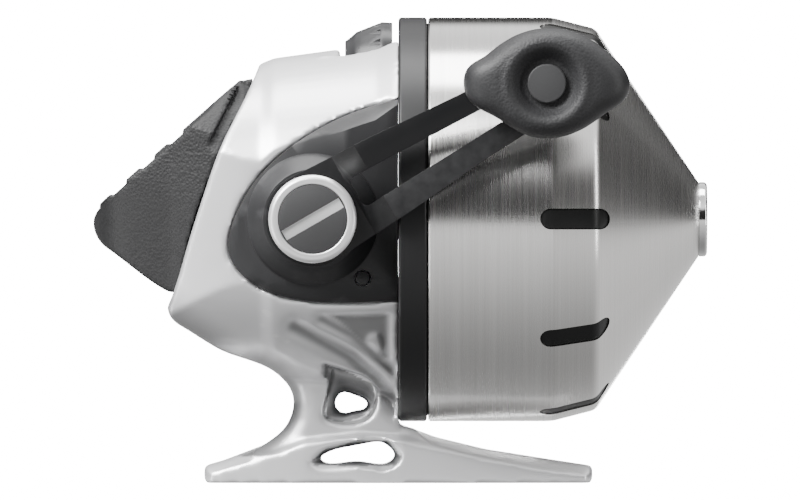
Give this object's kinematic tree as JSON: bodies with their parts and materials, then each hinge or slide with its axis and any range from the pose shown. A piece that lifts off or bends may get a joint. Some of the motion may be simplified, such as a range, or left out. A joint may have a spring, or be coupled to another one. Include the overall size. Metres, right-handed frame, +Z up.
{
  "type": "spincast reel",
  "caption": "Closed-face fishing reel with steel cover, thumb button, top drag wheel and a right-side crank on a clamp-down foot.",
  "frame": {"origin": "middle of the foot's underside, below the rear face of the black deck ring", "axes": "+X along the reel axis towards the line exit, +Z up away from the rod, the crank is on the -Y side"},
  "size_m": [0.092, 0.0769, 0.0698],
  "materials": {
    "silver_body": "satin silver paint over a bead-blasted casting",
    "side_plates": "satin charcoal moulding",
    "ring_black": "matte dark grey anodised",
    "cover_steel": "brushed round the axis",
    "liner_black": "fine matte moulding",
    "nose_chrome": "polished",
    "soft_rubber": "grained soft rubber",
    "arm_black": "satin black",
    "nut_steel": "machined bright",
    "disc_grey": "charcoal paint",
    "wheel_grey": "matte moulding",
    "steel": "turned steel",
    "brass": "machined",
    "zinc": "die-cast zinc, as cast",
    "spinner_metal": "turned aluminium",
    "spool_black": "moulded",
    "line": "clear nylon line wound level"
  },
  "bodies": {
    "root": {"reel_body": "silver_body", "side_plate": "side_plates", "far_side_plate": "side_plates", "far_plate_screws": "steel", "deck_ring": "ring_black", "deck_screws": "steel", "pinion_bushing": "brass", "crank_bushing": "brass", "spool_clip": "steel", "button_pin": "steel", "pawl_pin": "steel", "drag_shoe": "wheel_grey"},
    "cover": {"front_cover": "cover_steel", "cover_liner": "liner_black", "nose_ring": "nose_chrome", "brake_ring": "soft_rubber"},
    "crank": {"crank_shaft": "steel", "handle_washer": "steel", "drive_gear": "zinc", "ratchet_wheel": "steel", "handle_arm": "arm_black", "handle_nut": "nut_steel", "nut_disc": "disc_grey", "knob_axle": "disc_grey"},
    "knob": {"handle_knob": "soft_rubber"},
    "pinion_set": {"pinion": "brass"},
    "spinner": {"main_shaft": "steel", "shaft_clip": "steel", "shaft_spring": "steel", "spinner_head": "spinner_metal", "spinner_nut": "steel"},
    "pickup": {"pickup_pin": "steel"},
    "spool_set": {"spool": "spool_black", "line_winding": "line"},
    "wheel": {"drag_wheel": "wheel_grey", "drag_screw": "steel"},
    "pawl": {"anti_reverse_pawl": "steel"},
    "button": {"thumb_button": "soft_rubber"}
  },
  "joints": [
    {"name": "crank_turn", "type": "hinge", "parent": "root", "child": "crank", "pos_m": [-0.01275, 0, 0.0395], "axis": [0, 1, 0], "continuous": true},
    {"name": "knob_spin", "type": "hinge", "parent": "crank", "child": "knob", "pos_m": [0.02198, -0.04, 0.05955], "axis": [0, 1, 0], "continuous": true},
    {"name": "pinion_spin", "type": "hinge", "parent": "root", "child": "pinion_set", "pos_m": [0, 0, 0.0395], "axis": [1, 0, 0], "continuous": true},
    {"name": "button_press", "type": "hinge", "parent": "root", "child": "button", "pos_m": [-0.0195, 0, 0.057], "axis": [0, -1, 0], "range_deg": [0, 7.5], "stiffness_Nm_per_rad": 1.2, "springref_deg": -17.19},
    {"name": "shaft_slide", "type": "slide", "parent": "pinion_set", "child": "spinner", "axis": [1, 0, 0], "range_m": [0, 0.0024], "deforming": ["shaft_spring"]},
    {"name": "pin_draw", "type": "slide", "parent": "spinner", "child": "pickup", "axis": [0, 0, -1], "range_m": [0, 0.002]},
    {"name": "spool_slip", "type": "hinge", "parent": "root", "child": "spool_set", "pos_m": [0.012, 0, 0.0395], "axis": [1, 0, 0], "continuous": true},
    {"name": "drag_turn", "type": "hinge", "parent": "root", "child": "wheel", "pos_m": [-0.004, 0, 0.062], "axis": [1, 0, 0], "range_deg": [0, 270]},
    {"name": "pawl_rock", "type": "hinge", "parent": "root", "child": "pawl", "pos_m": [-0.0053, -0.0085, 0.0307], "axis": [0, 1, 0], "range_deg": [0, 7]},
    {"name": "cover_pull", "type": "slide", "parent": "root", "child": "cover", "axis": [1, 0, 0], "range_m": [0, 0.03]}
  ],
  "couplings": [
    {"joint": "pinion_spin", "follows": "crank_turn", "ratio": 2.8},
    {"joint": "shaft_slide", "follows": "button_press", "m_per_rad": 0.0175},
    {"joint": "pin_draw", "follows": "button_press", "m_per_rad": 0.015}
  ]
}
